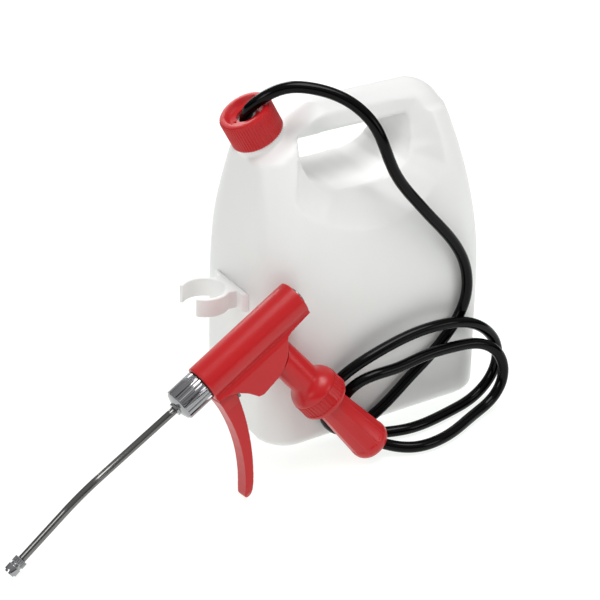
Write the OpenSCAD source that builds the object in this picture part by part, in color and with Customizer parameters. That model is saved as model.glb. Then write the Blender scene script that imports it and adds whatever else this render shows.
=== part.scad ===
// Canister sprayer with a hand pump gun.
// A blow-moulded can with a through handle and a tilted neck carries a screw cap,
// a suction tube and a clip for the gun. A hose joins the can to a trigger pump
// gun with a steel lance, which stands on the floor and leans on the can.
// Millimetres, +Z up. The origin is the centre of the can's base, on the floor.

/* [Can] */
// Length of the can along X
can_length = 215; // [205:1:230]
// Thickness of the can along Y
can_thick = 125; // [120:1:132]
// Height of the can
can_height = 280; // [274:1:290]
// Wall thickness of the can
can_wall = 2; // [1.6:0.1:2.6]
// Radius of the four upright edges
can_corner = 25; // [20:1:28]
// Height of the rounding round the base
base_round = 9; // [6:1:12]

/* [Handle] */
// Distance from the can's top down to the top of the grip hole
handle_bar = 21.5; // [20:0.5:23]
// Depth of the hollowed lip round the grip hole, from the can's broad face
lip_depth = 8; // [6:0.5:9]

/* [Neck and cap] */
// Lean of the neck away from upright, in degrees
neck_tilt = 27.5; // [26:0.5:29]
// Outer radius of the neck
neck_r = 18.5; // [17.5:0.1:19]
// Wall of the neck
neck_wall = 2.5; // [2:0.1:2.6]
// Length of the neck above the shoulder
neck_high = 21.3; // [20:0.1:22]
// Outer radius of the cap over its ribs
cap_r = 22.3; // [21.8:0.1:24]
// Height of the cap
cap_high = 25; // [24:0.5:26]
// Number of grip ribs on the cap
cap_ribs = 60; // [40:2:70]
// Radius of the hose hole in the cap
cap_hole_r = 8.9; // [8.7:0.1:9.3]
// Depth of the dish in the cap's top
dish_deep = 4; // [3:0.5:4.5]
// Radius of the dish in the cap's top
dish_r = 14.5; // [14:0.5:16]

/* [Suction line] */
// Outer radius of the suction tube inside the can
dip_r = 4; // [3.5:0.1:4.2]
// Bore radius of the suction tube
dip_bore_r = 2.5; // [2:0.1:2.8]
// Outer radius of the strainer at its foot
strainer_r = 8.5; // [7.5:0.5:9]
// Length of the strainer
strainer_long = 32; // [28:1:36]

/* [Gun clip] */
// Wall of the clip's arms
clip_wall = 3.5; // [3:0.5:4.5]
// Height of the clip
clip_high = 16; // [12:1:20]
// Width of the clip's foot on the can
clip_foot = 54; // [50:1:56]
// Height of the clip's lower edge above the floor
clip_z = 118; // [100:1:130]
// Half angle of the clip's opening, in degrees
clip_gape = 48; // [40:1:54]
// Sideways place of the clip on the narrow face
clip_side = 3; // [0:1:4]

/* [Hose] */
// Outside diameter of the hose
hose_d = 9.5; // [9:0.1:9.6]

/* [Gun housing] */
// Radius of the housing's rounded back
shell_r = 15.5; // [15.5:0.1:16.5]
// Length of the housing along the barrel
shell_long = 101.5; // [101.5:0.5:104]
// Half width of the housing's skirt
skirt_half = 13.5; // [13.5:0.1:14]
// Wall of the housing
shell_wall = 2.4; // [2:0.1:2.5]

/* [Pump] */
// Radius of the barrel
barrel_r = 6.5; // [6.3:0.1:6.8]
// Radius of the threaded spigot for the lance nut
spigot_r = 9; // [8.8:0.1:9.2]
// Bore radius of the pump cylinder
pump_bore_r = 6.5; // [6:0.1:6.6]
// Radius of the piston rod
rod_r = 2.8; // [2.4:0.1:3]
// Radius of the valve balls
ball_r = 3; // [2.9:0.1:3.1]
// Radius of the stem below the housing
stem_r = 13.2; // [13:0.1:13.3]
// Number of coils in the return spring
spring_turns = 6; // [4:1:7]

/* [Trigger] */
// Half width of the trigger at its finger end
trigger_half = 7.6; // [7.4:0.1:8]
// Wall of the trigger's channel
trigger_wall = 2; // [1.8:0.1:2.2]
// Radius of the trigger's centre line
trigger_bend_r = 150; // [130:5:180]

/* [Lance] */
// Outer radius of the lance
lance_r = 3.1; // [2.9:0.1:3.2]
// Bore radius of the lance
lance_bore_r = 1.6; // [1.2:0.1:2]
// Radius of the lance nut over its ribs
nut_r = 13.5; // [13:0.1:14]
// Length of the straight run between the two bends
lance_run = 71; // [60:1:72]
// Length of the run after the second bend
lance_end_run = 51.5; // [45:0.5:52.5]
// Radius of the nozzle
nozzle_r = 5.3; // [5:0.1:6]

/* [Grip] */
// Radius of the union ring over its ribs
ring_r = 21; // [20.5:0.5:22]
// Number of ribs on the union ring
ring_ribs = 40; // [24:2:48]
// Radius of the grip below the union ring
grip_r = 13; // [12.5:0.1:13.2]
// Radius of the grip at its foot
grip_foot_r = 17.2; // [16.8:0.1:17.3]

/* [Hidden] */
fine = 48;
smooth = 32;
big = 400;
fit = 0.05;
slack = 0.3;

// The can's outline, level by level. It stands upright, then its narrow face leans
// in, its other end and its broad faces curve in, and the top rounds over.
lean_from = 60;
lean_rate = 0.041;
brow_down = 98;
shoulder_down = 32;
shoulder_in = 12.5;
back_from = 100;
back_bend_r = 700;
side_from = 120;
side_bend_r = 310;
top_corner_r = 25;
crown_r = 28;
crown_down = 28;

function base_inset(z) = z < base_round ? base_round - sqrt(base_round^2 - (base_round - z)^2) : 0;
function can_left(z) = max(-can_length/2 + base_inset(z) + lean_rate*max(0, z - lean_from)
    + 1.5*lean_rate*max(0, z - (can_height - brow_down)),
    -can_length/2 + shoulder_in + (z - (can_height - shoulder_down))/tan(neck_tilt));
function top_drop(z) = max(0, z - (can_height - top_corner_r));
function can_right(z) = can_length/2 - base_inset(z) - max(0, z - back_from)^2/(2*back_bend_r)
    - (top_corner_r - sqrt(top_corner_r^2 - top_drop(z)^2));
function crown_half(z) = sqrt(max(1, crown_r^2 - (z - (can_height - crown_down))^2));
function can_half(z) = z > can_height - 20 ? crown_half(z)
    : can_thick/2 - base_inset(z) - max(0, z - side_from)^2/(2*side_bend_r);
can_levels = [0, 1.2, 3.5, base_round, lean_from, back_from, side_from, can_height - 130,
    can_height - brow_down, can_height - 80, can_height - 57, can_height - 40, can_height - 29,
    can_height - 20, can_height - 14, can_height - 9, can_height - 5, can_height - 2, can_height - 0.4];

// The grip hole's outline, seen from the side, as [x, distance below the top], and
// point for point the outer edge of the hollowed lip on the broad face.
hole_outline = [[-57.5, 41], [-58, 31], [-58, handle_bar], [-48, handle_bar], [-34, handle_bar],
    [-14, handle_bar], [8, handle_bar], [32, handle_bar], [47.5, handle_bar], [48, 30], [46.5, 42],
    [43, 49], [38, 55.5], [28, 61.5], [14, 65], [0, 66], [-14, 66.3], [-30, 65.3], [-44, 61], [-53, 52.5]];
lip_outline = [[-74.5, 65], [-69, 46], [-63, 26], [-58, 10], [-40, 6.8], [-18, 5.9], [9, 5.7], [30, 6],
    [57, 8], [67, 21], [70, 43], [71, 62], [60, 74], [46, 86], [30, 94], [9.5, 99.5], [-16, 98.5],
    [-41, 91], [-59, 80], [-69, 72.5]];
outline_mid = 45;

// The neck stands square on the shoulder. Points in its frame are [x, y, height].
neck_x = -can_length/2 + 28.7;
neck_z = can_height - 23.6;
neck_bore_r = neck_r - neck_wall;
cap_floor = 5.8;
cap_rim = cap_floor + cap_high;
gland_flange = 1.5;
gasket_thick = 1.5;
cap_under = neck_high + gland_flange + gasket_thick;
dish_floor = cap_rim - dish_deep;
dish_flare = 2.5;
cap_bore_r = neck_r + 0.06;
function neck_world(p) = [neck_x + p[0]*cos(neck_tilt) - p[2]*sin(neck_tilt), p[1],
    neck_z + p[0]*sin(neck_tilt) + p[2]*cos(neck_tilt)];

// The hose crosses the cap's hole at a slant, on an arc that starts in the gland.
hose_r = hose_d/2;
hose_turn = -37;
top_bend_r = 33;
hole_angle = 40;
hole_mid = (cap_under + dish_floor)/2 + 0.75;
arc_start = hole_mid - top_bend_r*sin(hole_angle);
arc_offset = -top_bend_r*(1 - cos(hole_angle));
gland_face = arc_start - hose_d;
function neck_arc(out, up) = neck_world([out*cos(hose_turn), out*sin(hose_turn), up]);
function top_bend(b) = neck_arc(arc_offset + top_bend_r*(1 - cos(b)), arc_start + top_bend_r*sin(b));

// The gun stands on the floor and leans on the can. Its own frame runs rearwards
// along the barrel (x), across (y) and up (z), from the housing's front face.
gun_foot_y = -103;
gun_lean = 11;
gun_pitch = 28.2;
gun_x = -180.15;
gun_z = 105.7;
stem_tilt = 9.8;
stem_top_x = 58.5;
function gun_world(p) = let (u = gun_x + p[0]*cos(gun_pitch) - p[2]*sin(gun_pitch),
    v = gun_z + p[0]*sin(gun_pitch) + p[2]*cos(gun_pitch))
    [u, gun_foot_y + v*sin(gun_lean) + p[1]*cos(gun_lean), v*cos(gun_lean) - p[1]*sin(gun_lean)];

// Stations along the barrel, from front to rear.
nut_front = -29;
spigot_front = -20;
spigot_back = 4.6;
valve_face = -4;
barrel_end = shell_long - 2.7;
water_r = 2.2;
plug_r = 8;
plug_shank_r = 5;

// The pump cylinder lies below the barrel, and its bush closes its mouth.
pump_z = -26;
pump_wall = 2.3;
pump_mouth = 38;
pump_end = 68;
piston_face = 16.8;
piston_head = 41.6;
head_long = 8;
bush_face = pump_mouth - 1.5;
rod_cap = 2;
rod_cap_r = 5.2;

// Stations down the stem, measured along its axis from the barrel's axis.
core_r = 9;
ball_room = 33;
seat_top = 41;
seat_long = 6;
stem_bore_r = 5;
bell_top = 60;
bell_foot = bell_top + 14;
thread_r = 15.5;
stem_end = bell_foot + 8;
gasket_end = stem_end + 1.5;
flange_end = gasket_end + 3.5;
ring_end = bell_foot + 17;
barb_end = 128;
grip_end = 156;
mouth_r = 13.8;

// The trigger swings on two pins beside the barrel and pushes the piston rearwards.
pivot = [11, -2];
pin_r = 2;
ear_half = 9.1;
ear_gap = barrel_r + 0.5;
ear_foot = 22;
pad_r = 4.5;

// The hose's lower end leaves the grip on an arc that lies down on the floor.
foot_bend_r = 46;
foot_turn = 45;
foot_start = barb_end + hose_d;
function stem_point(out, s) = gun_world([stem_top_x + s*sin(stem_tilt) + out*cos(foot_turn)*cos(stem_tilt),
    -out*sin(foot_turn), -s*cos(stem_tilt) + out*cos(foot_turn)*sin(stem_tilt)]);
function foot_bend(a) = stem_point(foot_bend_r*(1 - cos(a)), foot_start + foot_bend_r*sin(a));

// The hose's route, from the gland to the barb. Between its two ends the points
// are set by hand: down the broad face, twice round behind the grip, then home.
hose_route = concat(
    [neck_arc(arc_offset, gland_face)],
    [for (b = [0, 20, 40, 62, 86]) top_bend(b)],
    [[-66.5, -20.5, 305], [-48, -30.5, 303], [-31, -41.5, 297], [-17.5, -53, 286], [-8, -61.5, 270.5],
    [-2.5, -65.5, 252], [5, -66, 233.5], [16, -66.5, 216.5], [28, -67.5, 202], [41, -68, 186],
    [54, -68, 171.5], [66.5, -68.5, 155.5], [76, -69, 138], [81, -69, 119], [80, -69, 99],
    [71.5, -68.5, 81], [58.5, -68, 65.5], [43, -68.5, 52.5], [26.5, -69, 41.5], [10.5, -69.5, 29],
    [-6.5, -68.5, 15.5], [-26.5, -67.5, 5.5], [-45.5, -68.5, 8.5], [-59, -69.5, 21.5], [-62, -70.5, 40.5],
    [-52.5, -72, 59.5], [-34.5, -76, 72.5], [-15, -77.5, 80], [5, -77.5, 85], [25.5, -78, 88.5],
    [45.5, -80, 90], [65, -81, 88], [83.5, -80.5, 80.5], [99, -79.5, 67.5], [109, -79, 51],
    [109, -79.5, 31.5], [98.5, -79.5, 14.5], [81.5, -81.5, 6], [61.5, -86, 5.5], [43.5, -89.5, 5.5],
    [23.5, -92.5, 5.5], [5, -92.5, 6], [-11.5, -86, 5.5], [-29.5, -79.5, 6.5], [-43.5, -76, 16],
    [-50, -75.5, 31.5], [-47.5, -77.5, 48], [-36, -82, 61], [-17.5, -85.5, 65], [2.5, -84.5, 63.5],
    [22.5, -83.5, 66.5], [42.5, -83.5, 67.5], [62, -84, 66.5], [81.5, -86, 65.5], [99.5, -89.5, 56],
    [107.5, -92.5, 39], [104.5, -94.5, 21.5], [92, -96.5, 9], [75, -100, 5.5], [57.5, -108, 6],
    [39, -115.5, 5.5], [19.5, -120, 5.5], [0, -119.5, 5.5]],
    [for (a = [48, 30, 14, 0]) foot_bend(a)],
    [stem_point(0, barb_end)]);
hose_sides = 10;

// A round rectangle's corner points, for one level of the can.
function round_box(x0, x1, half, r) = let (c = min(r, half - 0.5, (x1 - x0)/2 - 0.5))
    [for (q = [[x1 - c, half - c, 0], [x0 + c, half - c, 90], [x0 + c, c - half, 180],
        [x1 - c, c - half, 270]])
        for (a = [0:15:90]) [q[0] + c*cos(q[2] + a), q[1] + c*sin(q[2] + a)]];

// A ring's outline with ribs all round.
function ribbed(r, deep, count) = [for (i = [0:count - 1]) for (k = [0:3])
    let (a = 360/count*(i + [0.08, 0.42, 0.58, 0.92][k])) (k < 2 ? r : r - deep)*[cos(a), sin(a)]];

// Points of a smooth run through the route, and the rings of a tube along it.
function unit(v) = v/norm(v);
function span_point(p, i, t) = let (a = p[max(i - 1, 0)], b = p[i], c = p[i + 1],
    d = p[min(i + 2, len(p) - 1)])
    0.5*(2*b + (c - a)*t + (2*a - 5*b + 4*c - d)*t^2 + (3*b - a - 3*c + d)*t^3);
function smooth_run(p, gap) = concat([for (i = [0:len(p) - 2])
    let (n = max(1, round(norm(p[i + 1] - p[i])/gap))) for (k = [0:n - 1]) span_point(p, i, k/n)],
        [p[len(p) - 1]]);
function run_dir(p, i) = unit(p[min(i + 1, len(p) - 1)] - p[max(i - 1, 0)]);
function square_to(v, t) = unit(v - (v*t)*t);
function carried(p, i, v) = i >= len(p) ? [] :
    let (n = square_to(v, run_dir(p, i))) concat([n], carried(p, i + 1, n));
function sum(v, i = 0, total = 0) = i >= len(v) ? total : sum(v, i + 1, total + v[i]);
function run_length(p) = sum([for (i = [0:len(p) - 2]) norm(p[i + 1] - p[i])]);
function least_gap(p, skip) = min([for (i = [0:len(p) - 1 - skip])
    for (j = [i + skip:len(p) - 1]) norm(p[i] - p[j])]);

// A closed skin over rings of points, which all have the same number of points.
module loft(rings) {
    n = len(rings[0]);
    last = len(rings) - 1;
    walls = [for (i = [0:last - 1]) for (k = [0:n - 1]) let (a = i*n + k, b = i*n + (k + 1)%n)
        each [[a, a + n, b], [b, a + n, b + n]]];
    ends = [for (k = [1:n - 2]) each [[0, k, k + 1], [last*n, last*n + k + 1, last*n + k]]];
    polyhedron([for (ring = rings) each ring], concat(walls, ends), convexity = 10);
}

module tube_along(p, r, sides) {
    ups = carried(p, 0, [0.31, 0.94, 0.12]);
    loft([for (i = [0:len(p) - 1]) let (t = run_dir(p, i), w = cross(t, ups[i]))
        [for (k = [0:sides - 1]) p[i] + r*(cos(360*k/sides)*ups[i] + sin(360*k/sides)*w)]]);
}

module in_neck() { translate([neck_x, 0, neck_z]) rotate([0, -neck_tilt, 0]) children(); }

module in_gun() {
    translate([0, gun_foot_y, 0]) rotate([-gun_lean, 0, 0]) translate([gun_x, 0, gun_z])
        rotate([0, -gun_pitch, 0]) children();
}

// Solids along the gun's barrel, from front to rear, and down its stem.
module barrel_rod(r, from, to, z = 0) {
    translate([from, 0, z]) rotate([0, 90, 0]) cylinder(r = r, h = to - from, $fn = fine);
}

module in_stem(s = 0) {
    translate([stem_top_x, 0, 0]) rotate([0, 180 - stem_tilt, 0]) translate([0, 0, s]) children();
}

module stem_rod(r, from, to) { in_stem(from) cylinder(r = r, h = to - from, $fn = fine); }

module side_plate(half, outline) {
    rotate([90, 0, 0]) linear_extrude(2*half, center = true) polygon(outline);
}

module long_bar(from, to, outline) {
    translate([from, 0, 0]) rotate([90, 0, 90]) linear_extrude(to - from) polygon(outline);
}

// ---- can ----

module can_form(inset) {
    rings = [for (z = can_levels) let (h = inset + z*(can_height - 2*inset)/can_height)
        [for (q = round_box(can_left(z) + inset, can_right(z) - inset, can_half(z) - inset,
            can_corner - inset))
            [q[0], q[1], h]]];
    loft(rings);
}

// A side outline turned to [x, z] and grown outwards by a wall.
function side_outline(outline, grow) = [for (p = outline)
    [p[0] + grow*sign(p[0]), can_height - p[1] - grow*sign(p[1] - outline_mid)]];

module lip_cut(grow) {
    rim = side_outline(lip_outline, grow);
    edge = side_outline(hole_outline, grow);
    for (side = [0, 1]) mirror([0, side, 0]) loft([
        [for (p = edge) [p[0], can_half(p[1]) - lip_depth - grow, p[1]]],
        [for (p = rim) [p[0], can_half(p[1]) + 0.6 - grow, p[1]]],
        [for (p = rim) [p[0], can_thick/2 + 15, p[1]]]]);
}

module hole_cut(grow) { side_plate(can_thick/2, side_outline(hole_outline, grow)); }

module tank() {
    color("white") difference() {
        union() {
            can_form(0);
            in_neck() translate([0, 0, -8]) cylinder(r = neck_r, h = neck_high + 8, $fn = fine);
            in_neck() translate([0, 0, cap_floor - 4.3]) cylinder(r = neck_r + 2.2, h = 3, $fn = fine);
        }
        difference() {
            union() {
                can_form(can_wall);
                in_neck() translate([0, 0, -6]) cylinder(r = neck_bore_r, h = neck_high + 7, $fn = fine);
            }
            lip_cut(can_wall);
            hole_cut(can_wall);
        }
        lip_cut(0);
        hole_cut(0);
    }
}

// ---- cap and suction line ----

module cap() {
    color("firebrick") in_neck() difference() {
        union() {
            translate([0, 0, cap_floor]) linear_extrude(cap_high - 1.5)
                polygon(ribbed(cap_r, 1, cap_ribs));
            translate([0, 0, cap_floor]) cylinder(r = cap_r - 0.6, h = cap_high - 0.8, $fn = fine);
            translate([0, 0, cap_rim - 0.9]) cylinder(r = cap_r - 1.4, h = 0.9, $fn = fine);
        }
        translate([0, 0, cap_floor - 1])
            cylinder(r = cap_bore_r, h = cap_under - cap_floor + 1, $fn = fine);
        translate([0, 0, cap_under - 1]) cylinder(r = cap_hole_r, h = cap_high, $fn = fine);
        translate([0, 0, dish_floor])
            cylinder(r1 = dish_r, r2 = dish_r + 2*dish_flare, h = 2*dish_deep, $fn = fine);
        translate([-11.3, 0, cap_under - 1]) cylinder(r = 0.9, h = cap_high, $fn = smooth);
    }
}

module cap_gasket() {
    color("dimgray") in_neck() translate([0, 0, neck_high + gland_flange]) difference() {
        cylinder(r = neck_r - 0.1, h = gasket_thick, $fn = fine);
        translate([0, 0, -1]) cylinder(r = dish_r, h = gasket_thick + 2, $fn = fine);
    }
}

gland_foot = gland_face - 9.3;
gland_base = 2;

module in_dip() { in_neck() rotate([0, 0, hose_turn]) translate([arc_offset, 0, 0]) children(); }

module hose_gland() {
    cup_r = neck_bore_r - 0.1;
    color("dimgray") difference() {
        union() {
            in_neck() translate([0, 0, neck_high])
                cylinder(r = neck_r - 0.1, h = gland_flange, $fn = fine);
            in_neck() cylinder(r = cup_r, h = neck_high + 0.5, $fn = fine);
            in_dip() translate([0, 0, gland_foot])
                cylinder(r = hose_r + 1.8, h = gland_base - gland_foot, $fn = fine);
        }
        in_neck() translate([0, 0, gland_base]) cylinder(r = cup_r - 2, h = neck_high + 5, $fn = fine);
        in_dip() translate([0, 0, gland_face]) cylinder(r = hose_r + 0.25, h = 20, $fn = smooth);
        in_dip() translate([0, 0, gland_foot - 1]) cylinder(r = dip_bore_r, h = 20, $fn = smooth);
    }
}

strainer_foot = 11 - neck_z/cos(neck_tilt);
strainer_top = strainer_foot + strainer_long;
tube_foot = strainer_top - 5;

module suction_tube() {
    color("whitesmoke") in_dip() translate([0, 0, tube_foot]) difference() {
        cylinder(r = dip_r, h = gland_foot - tube_foot, $fn = smooth);
        translate([0, 0, -1]) cylinder(r = dip_bore_r, h = big, $fn = smooth);
    }
}

module strainer() {
    color("darkgray") in_dip() translate([0, 0, strainer_foot]) difference() {
        union() {
            cylinder(r = strainer_r - 0.8, h = strainer_long - 6, $fn = fine);
            for (h = [0, strainer_long/2 - 4, strainer_long - 8]) translate([0, 0, h])
                cylinder(r = strainer_r, h = 2, $fn = fine);
            translate([0, 0, strainer_long - 7]) cylinder(r = dip_r + 2.2, h = 7, $fn = fine);
        }
        translate([0, 0, 2]) cylinder(r = strainer_r - 2.4, h = strainer_long - 10, $fn = fine);
        translate([0, 0, 4]) cylinder(r = dip_bore_r, h = strainer_long, $fn = smooth);
        translate([0, 0, strainer_long - 5]) cylinder(r = dip_r + fit, h = strainer_long, $fn = smooth);
        for (a = [0:45:315], h = [3, strainer_long/2 - 1]) rotate([0, 0, a])
            translate([strainer_r - 1.6, 0, h + strainer_long/8])
                cube([4, 2.4, strainer_long/4], center = true);
    }
}

// ---- clip ----

clip_lean = atan(lean_rate);
clip_x = -can_length/2 + lean_rate*(clip_z - lean_from);
foot_thick = 5;
clip_r = grip_foot_r + slack;
arm_out = foot_thick + clip_r + clip_wall + 1;
clip_neck = 30;

module gun_clip() {
    color("white") translate([clip_x, clip_side, clip_z]) rotate([0, clip_lean, 0]) {
        difference() {
            union() {
                translate([-arm_out, 0, 0]) cylinder(r = clip_r + clip_wall, h = clip_high, $fn = fine);
                translate([-foot_thick - fit, 0, 0]) linear_extrude(clip_high)
                    polygon([[0, -clip_foot/2 + 4], [foot_thick, -clip_foot/2], [foot_thick, clip_foot/2],
                        [0, clip_foot/2 - 4]]);
                translate([-arm_out/2 - 1, 0, clip_high/2])
                    cube([arm_out - 2, clip_neck, clip_high], center = true);
            }
            translate([-arm_out, 0, -1]) cylinder(r = clip_r, h = clip_high + 2, $fn = fine);
            translate([-arm_out, 0, -1]) linear_extrude(clip_high + 2)
                polygon([[0, 0], big*[-cos(clip_gape), sin(clip_gape)],
                    big*[-cos(clip_gape), -sin(clip_gape)]]);
            translate([-fit, -big/2, -1]) cube([big, big, big]);
        }
        for (side = [-1, 1]) translate([-arm_out - (clip_r + clip_wall/2)*cos(clip_gape),
            side*(clip_r + clip_wall/2)*sin(clip_gape), 0])
                cylinder(r = clip_wall/2, h = clip_high, $fn = smooth);
    }
}

// ---- hose ----

module hose() {
    dense = smooth_run(hose_route, 4);
    echo(length = run_length(dense), least_gap = least_gap(dense, 12) - hose_d);
    color("black") tube_along(smooth_run(hose_route, 18), hose_r, hose_sides);
}

// ---- gun housing ----

// The housing's side outline under its rounded back, and the skirt's lower edge.
skirt_edge = [[80, -13.6], [75, -14.4], [70.5, -21], [66, -27.5], [58, -33], [50, -36], [33, -38],
    [28, -36.5],
    [23, -28], [16, -20.5], [8, -15.6], [0, -14.5]];
skirt_outline = concat([[0, 0], [shell_long, 0], [shell_long, -12.5]], skirt_edge);

module housing_solid() {
    barrel_rod(shell_r, 0, shell_long);
    intersection() {
        side_plate(20, skirt_outline);
        long_bar(-1, shell_long + 1, [[-9, -7.5], [9, -7.5], [skirt_half, -14.5], [skirt_half - 0.6, -45],
            [0.6 - skirt_half, -45], [-skirt_half, -14.5]]);
    }
}

module gun_housing() {
    inner = skirt_half - shell_wall;
    color("firebrick") in_gun() {
        difference() {
            housing_solid();
            barrel_rod(shell_r - shell_wall, shell_wall, shell_long - shell_wall);
            long_bar(shell_wall, shell_long - shell_wall,
                [[-9.3, -4], [9.3, -4], [9.3, -9.5], [inner, -14.8],
                [inner, -60], [-inner, -60], [-inner, -14.8], [-9.3, -9.5]]);
            barrel_rod(spigot_r + 0.15, -1, shell_wall + 1);
            barrel_rod(plug_shank_r + 0.1, shell_long - shell_wall - 1, shell_long + 1);
        }
        for (x = [30, 82]) intersection() {
            barrel_rod(shell_r - shell_wall + 0.3, x, x + 2);
            difference() {
                translate([x, -big/2, 0]) cube([2, big, big]);
                barrel_rod(barrel_r + fit, x - 1, x + 3);
            }
        }
        for (side = [-1, 1]) translate([pivot[0], side*11.4, pivot[1]]) rotate([90, 0, 0])
            cylinder(r = 3.4, h = 3.6, center = true, $fn = smooth);
    }
}

// ---- pump ----

module pump_body() {
    color("firebrick") in_gun() difference() {
        union() {
            barrel_rod(barrel_r, spigot_back - 1, barrel_end);
            barrel_rod(spigot_r, spigot_front, spigot_back);
            barrel_rod(pump_bore_r + pump_wall, pump_mouth, pump_end, pump_z);
            translate([pump_mouth + 4, -2, pump_z + 4]) cube([20, 4, -pump_z - 6]);
            stem_rod(core_r, 3, bell_top);
            difference() {
                stem_rod(stem_r, 4, bell_top + 0.5);
                translate([0.25, 0, -0.25])
                    side_plate(30, concat([[-5, 40], [shell_long, 40], [shell_long, -12.5]], skirt_edge));
            }
            in_stem() rotate_extrude($fn = fine)
                polygon([[0, bell_top], [stem_r, bell_top], [stem_r + 0.7, bell_top + 2.5],
                    [stem_r + 2.3, bell_top + 5], [ring_r - 3.2, bell_top + 7.5], [ring_r - 1.5, bell_top + 10],
                    [ring_r - 0.5, bell_top + 12.5], [ring_r - 0.3, bell_foot], [0, bell_foot]]);
            stem_rod(thread_r, bell_foot - 1, stem_end);
        }
        barrel_rod(ball_r + slack, spigot_front - 1, valve_face);
        barrel_rod(water_r, valve_face - 1, barrel_end - 10);
        barrel_rod(plug_shank_r, barrel_end - 14, barrel_end + 1);
        barrel_rod(pump_bore_r, pump_mouth - 1, pump_end - 3, pump_z);
        translate([pump_end - 6, 0, pump_z]) cylinder(r = 1.8, h = -pump_z, $fn = smooth);
        stem_rod(water_r, 27, ball_room + 1);
        stem_rod(ball_r + slack, ball_room, seat_top + 1);
        stem_rod(stem_bore_r, seat_top, stem_end + 1);
        for (side = [-1, 1]) translate([pivot[0], side*(barrel_r + water_r + 0.3)/2 + side*2, pivot[1]])
            rotate([90, 0, 0])
            cylinder(r = pin_r, h = 4, center = true, $fn = smooth);
    }
}

module barrel_plug() {
    color("silver") in_gun() difference() {
        union() {
            barrel_rod(plug_r, shell_long, shell_long + 2.5);
            barrel_rod(plug_shank_r - fit, barrel_end - 13, shell_long + 1);
        }
        translate([shell_long + 2.5, 0, 0]) cube([2, 1.6, 11], center = true);
    }
}

module front_seal() {
    color("black") in_gun() difference() {
        barrel_rod(nut_r - 0.3, -1, 0);
        barrel_rod(spigot_r + fit, -4, 1);
    }
}

module lance_nut() {
    color("silver") in_gun() difference() {
        union() {
            translate([-23.6, 0, 0]) rotate([0, 90, 0]) linear_extrude(22.5)
                polygon(ribbed(nut_r, 0.9, 18));
            rotate([0, -90, 0]) rotate_extrude($fn = fine)
                polygon([[0, 1.1], [nut_r - 1, 1.1], [nut_r - 1, 24.3], [nut_r - 2, 25.3], [6.6, 27],
                    [5.6, 27.2], [5.6, -nut_front], [0, -nut_front]]);
        }
        barrel_rod(spigot_r + 0.06, spigot_front - 0.2, 0);
        barrel_rod(8.7, lance_back - 2.25, spigot_front);
        barrel_rod(lance_r + 0.06, nut_front - 1, -20);
    }
}

module lance_washer() {
    color("black") in_gun() difference() {
        barrel_rod(8.4, -21.4, spigot_front);
        barrel_rod(2, -22, spigot_front + 1);
    }
}

// ---- lance: a frame that looks forwards, with x upwards ----

bend_up = 1;
bend_up_r = 150;
bend_down = 6.5;
bend_down_r = 320;
bend_swell = 0.02;
lance_back = -21.4;
lance_lead = 11.3;

module along_lance() { translate([lance_back, 0, 0]) rotate([0, -90, 0]) children(); }

module past_bend(r, a) { translate([r*(1 - cos(a)), 0, r*sin(a)]) rotate([0, a, 0]) children(); }

module bend_rod(r, bend_r, a) {
    translate([bend_r, 0, 0]) rotate([90, 0, 0]) rotate_extrude(angle = a, start = 180 - a, $fn = 360)
        translate([bend_r, 0]) circle(r = r, $fn = smooth);
}

// The lance's run at a given radius: straight, up, straight, down, straight.
module lance_run_rod(r) {
    cylinder(r = r, h = lance_lead, $fn = smooth);
    translate([0, 0, lance_lead]) bend_rod(r + bend_swell, bend_up_r, bend_up);
    translate([0, 0, lance_lead]) past_bend(bend_up_r, bend_up) {
        cylinder(r = r, h = lance_run, $fn = smooth);
        translate([0, 0, lance_run]) {
            rotate([0, 0, 180]) bend_rod(r + bend_swell, bend_down_r, bend_down);
            past_bend(-bend_down_r, -bend_down) cylinder(r = r, h = lance_end_run, $fn = smooth);
        }
    }
}

module lance_tip() {
    along_lance() translate([0, 0, lance_lead]) past_bend(bend_up_r, bend_up) translate([0, 0, lance_run])
        past_bend(-bend_down_r, -bend_down) translate([0, 0, lance_end_run]) children();
}

module lance_tube() {
    color("lightgray") in_gun() along_lance() difference() {
        union() {
            cylinder(r = 8.2, h = 2.2, $fn = fine);
            lance_run_rod(lance_r);
        }
        lance_run_rod(lance_bore_r);
    }
}

module nozzle() {
    color("silver") in_gun() lance_tip() difference() {
        union() {
            translate([0, 0, -5]) linear_extrude(5) polygon(ribbed(nozzle_r, 0.4, 20));
            translate([0, 0, -0.5]) cylinder(r = nozzle_r - 0.9, h = 3, $fn = fine);
            translate([0, 0, 2]) cylinder(r = nozzle_r, h = 5.5, $fn = fine);
            translate([0, 0, 7]) cylinder(r = nozzle_r - 1.2, h = 1.8, $fn = fine);
        }
        translate([0, 0, -7]) cylinder(r = lance_r + 0.06, h = 11.5, $fn = smooth);
        translate([0, 0, 4]) cylinder(r = 0.6, h = 10, $fn = smooth);
    }
}

module swirl_core() {
    color("gold") in_gun() lance_tip() difference() {
        translate([0, 0, 0.1]) cylinder(r = lance_r - 0.1, h = 4.2, $fn = smooth);
        translate([0, 0, 0]) cylinder(r = 0.9, h = 3, $fn = smooth);
        for (a = [0, 180]) rotate([0, 0, a]) translate([lance_r - 0.6, 0, 2]) rotate([25, 0, 0])
            cube([1.2, 0.9, 12], center = true);
    }
}

// ---- trigger ----

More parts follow.
